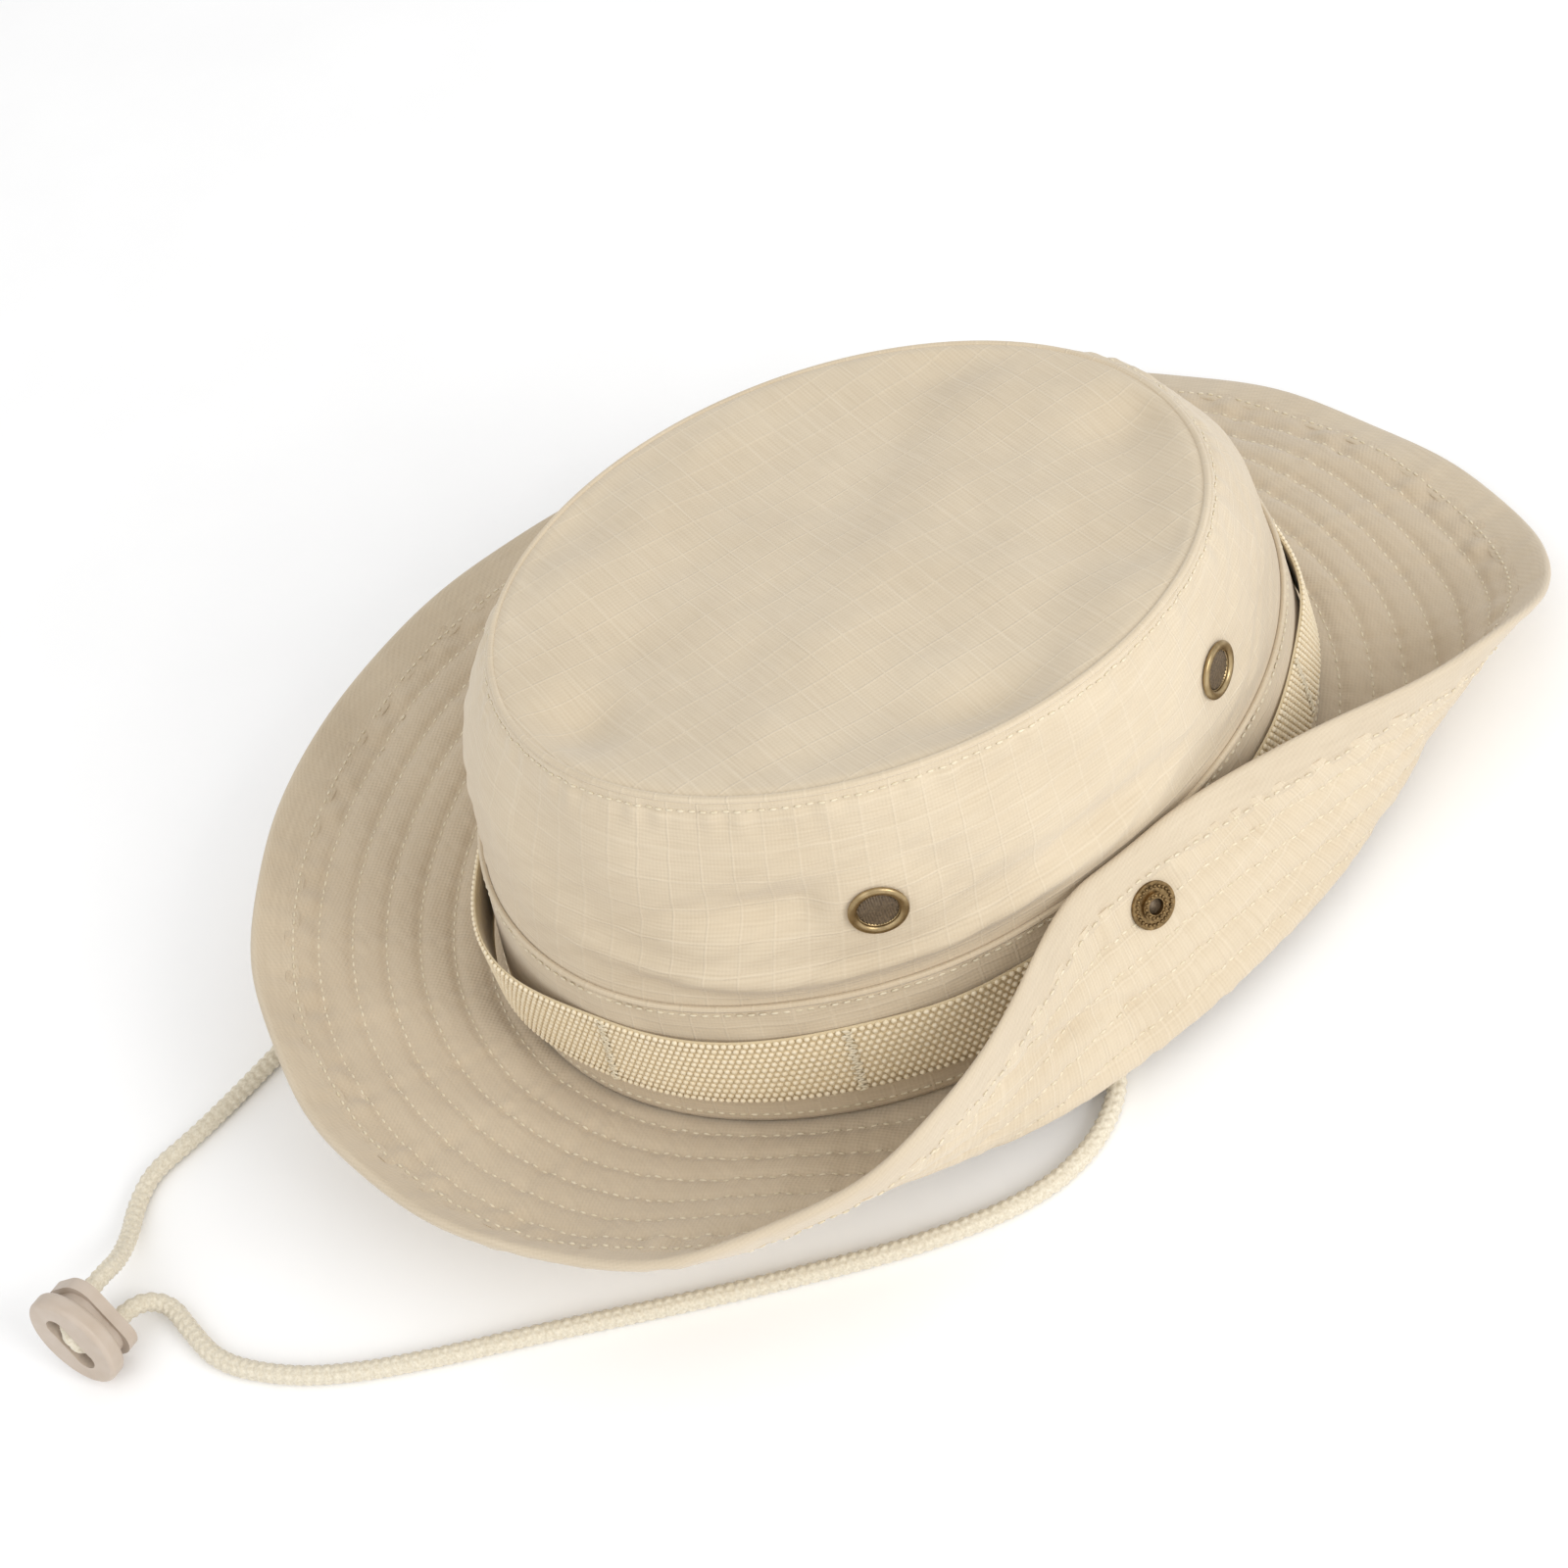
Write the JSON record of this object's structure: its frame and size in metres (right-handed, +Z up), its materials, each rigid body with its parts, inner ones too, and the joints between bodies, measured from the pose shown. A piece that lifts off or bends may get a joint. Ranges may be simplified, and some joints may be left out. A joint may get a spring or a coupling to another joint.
{
  "type": "boonie hat",
  "caption": "Soft hat with an oval crown, vented wall, webbing band, quilted brim whose sides fold up and snap to the crown, and a braided chin cord with a slide lock.",
  "frame": {"origin": "centre of the head opening, where the crown meets the brim", "axes": "+Z up the crown, -Y the way the wearer faces, +X the wearer's left"},
  "size_m": [0.2556, 0.4, 0.1078],
  "materials": {
    "ripstop_cotton": "matt khaki ripstop cotton",
    "twill_lining": "matt khaki plain weave",
    "edge_binding": "matt khaki twill tape",
    "webbing": "matt woven webbing",
    "sweatband_cloth": "matt cotton",
    "label_cloth": "matt white woven tape",
    "antique_brass": "dull antique brass",
    "vent_mesh": "dark woven mesh",
    "braided_cord": "braided polyester cord",
    "lock_plastic": "satin moulded plastic"
  },
  "bodies": {
    "hat": {"crown_top": "ripstop_cotton", "crown_wall": "ripstop_cotton", "crown_band": "ripstop_cotton", "foliage_webbing": "webbing", "sweatband": "sweatband_cloth", "seam_tape": "edge_binding", "size_label": "label_cloth", "brim_front_upper_ply": "twill_lining", "brim_front_under_ply": "ripstop_cotton", "brim_front_binding": "edge_binding", "brim_back_upper_ply": "twill_lining", "brim_back_under_ply": "ripstop_cotton", "brim_back_binding": "edge_binding", "left_fold_strip_upper_ply": "twill_lining", "left_fold_strip_under_ply": "ripstop_cotton", "right_fold_strip_upper_ply": "twill_lining", "right_fold_strip_under_ply": "ripstop_cotton", "vent_eyelets": "antique_brass", "vent_washers": "antique_brass", "vent_screens": "vent_mesh", "left_snap_stud": "antique_brass", "left_snap_post": "antique_brass", "left_cord_tab": "ripstop_cotton", "right_snap_stud": "antique_brass", "right_snap_post": "antique_brass", "right_cord_tab": "ripstop_cotton", "chin_cord": "braided_cord"},
    "left_flap": {"left_flap_upper_ply": "twill_lining", "left_flap_under_ply": "ripstop_cotton", "left_flap_binding": "edge_binding", "left_snap_socket": "antique_brass", "left_snap_cap": "antique_brass"},
    "right_flap": {"right_flap_upper_ply": "twill_lining", "right_flap_under_ply": "ripstop_cotton", "right_flap_binding": "edge_binding", "right_snap_socket": "antique_brass", "right_snap_cap": "antique_brass"},
    "cord_lock": {"cord_lock": "lock_plastic"}
  },
  "joints": [
    {"name": "left_flap_fold", "type": "hinge", "parent": "hat", "child": "left_flap", "pos_m": [0.0975, 0, -0.004], "axis": [0, 1, 0], "range_deg": [0, 88]},
    {"name": "right_flap_fold", "type": "hinge", "parent": "hat", "child": "right_flap", "pos_m": [-0.1, 0, 0.0008], "axis": [0, 0.9976, -0.0688], "range_deg": [0, 104]},
    {"name": "cord_lock_slide", "type": "slide", "parent": "hat", "child": "cord_lock", "axis": [-0.4979, 0.8464, -0.1892], "range_m": [0, 0.003]}
  ]
}
